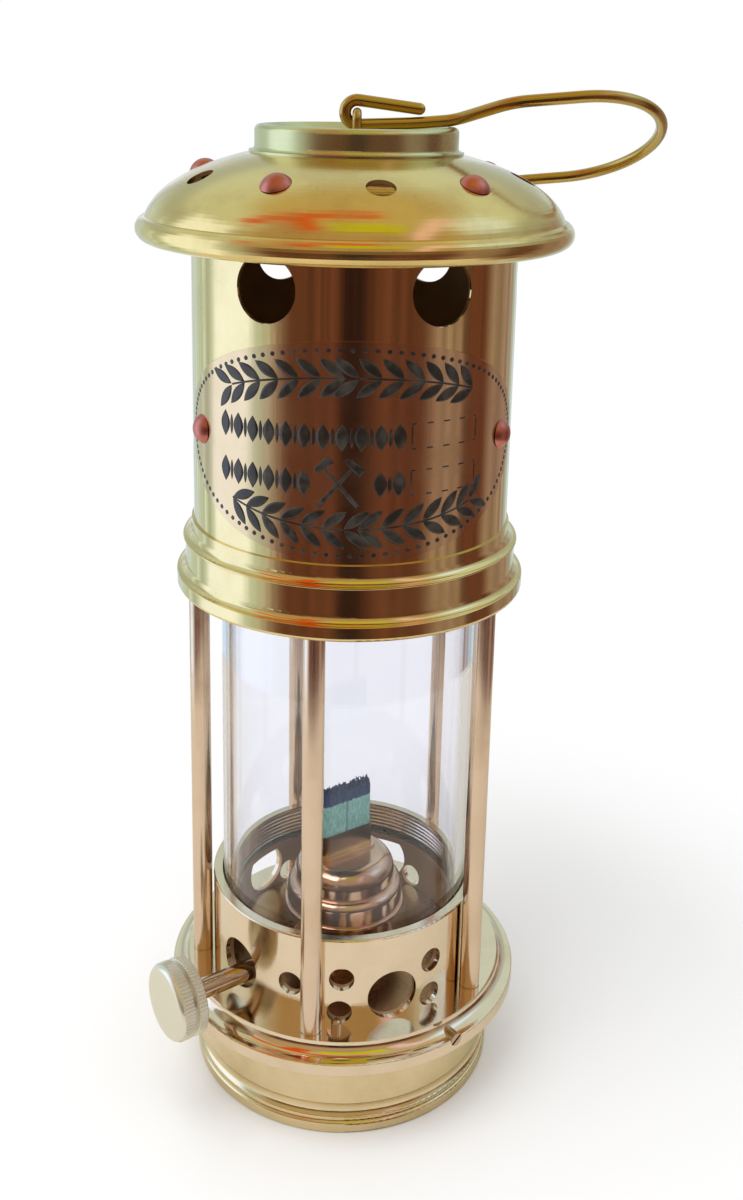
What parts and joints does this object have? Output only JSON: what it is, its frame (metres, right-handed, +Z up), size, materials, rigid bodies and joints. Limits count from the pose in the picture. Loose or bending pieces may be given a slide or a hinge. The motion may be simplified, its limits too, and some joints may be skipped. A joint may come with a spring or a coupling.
{
  "type": "miners lamp",
  "caption": "Polished brass miner's oil safety lamp: pierced gallery, glass cylinder between pillars, bonnet with a riveted oval plate, domed hood and a wire carrying hook.",
  "frame": {"origin": "centre of the foot's flat underside, on the lamp's axis", "axes": "+Z up the lamp's axis, -Y towards the plate, +X to the right of somebody who faces the plate"},
  "size_m": [0.1176, 0.0958, 0.235],
  "materials": {
    "polished_brass": "polished, lightly lacquered brass",
    "plate_brass": "engraved and polished brass plate",
    "pale_brass": "pale machined brass",
    "copper": "copper, worn dull at the edges",
    "clear_glass": "clear glass",
    "gasket_rubber": "thin dark sealing ring",
    "woven_wick": "woven cotton wick with a dark frayed top"
  },
  "bodies": {
    "lamp_body": {"base_font": "polished_brass", "font_top": "polished_brass", "lower_ring": "polished_brass", "gallery": "polished_brass", "glass_seat_ring": "polished_brass", "glass_gasket_lower": "gasket_rubber", "glass": "clear_glass", "glass_gasket_upper": "gasket_rubber", "pillar_1": "polished_brass", "pillar_2": "polished_brass", "pillar_3": "polished_brass", "pillar_4": "polished_brass", "pillar_5": "polished_brass", "upper_ring": "polished_brass", "burner_body": "polished_brass", "burner_cap": "polished_brass", "wick_tube": "polished_brass", "winder_sleeve": "polished_brass", "lock_pin": "pale_brass", "ring_grub_screw": "pale_brass"},
    "bonnet": {"bonnet_skirt": "polished_brass", "bonnet_shell": "polished_brass", "name_plate": "plate_brass", "plate_rivets": "copper", "hood_brackets": "polished_brass", "hood": "polished_brass", "hood_rivets": "copper", "crown_cap": "polished_brass", "hook_staple": "polished_brass"},
    "hook": {"hook": "polished_brass"},
    "winder": {"winder_shaft": "pale_brass", "spur_wheels": "polished_brass", "winder_knob": "pale_brass"},
    "wick": {"wick": "woven_wick"}
  },
  "joints": [
    {"name": "bonnet_lift", "type": "slide", "parent": "lamp_body", "child": "bonnet", "axis": [0, 0, 1], "range_m": [0, 0.03]},
    {"name": "hook_swing", "type": "hinge", "parent": "bonnet", "child": "hook", "pos_m": [0, 0, 0.22921], "axis": [0, -1, 0], "range_deg": [0, 180]},
    {"name": "winder_turn", "type": "hinge", "parent": "lamp_body", "child": "winder", "pos_m": [0.0029, -0.00414, 0.0325], "axis": [-0.8192, -0.5736, 0], "range_deg": [-90, 165]},
    {"name": "wick_lift", "type": "slide", "parent": "lamp_body", "child": "wick", "axis": [0, 0, 1], "range_m": [-0.0109, 0.006]}
  ],
  "couplings": [
    {"joint": "wick_lift", "follows": "winder_turn", "m_per_rad": -0.00375}
  ]
}
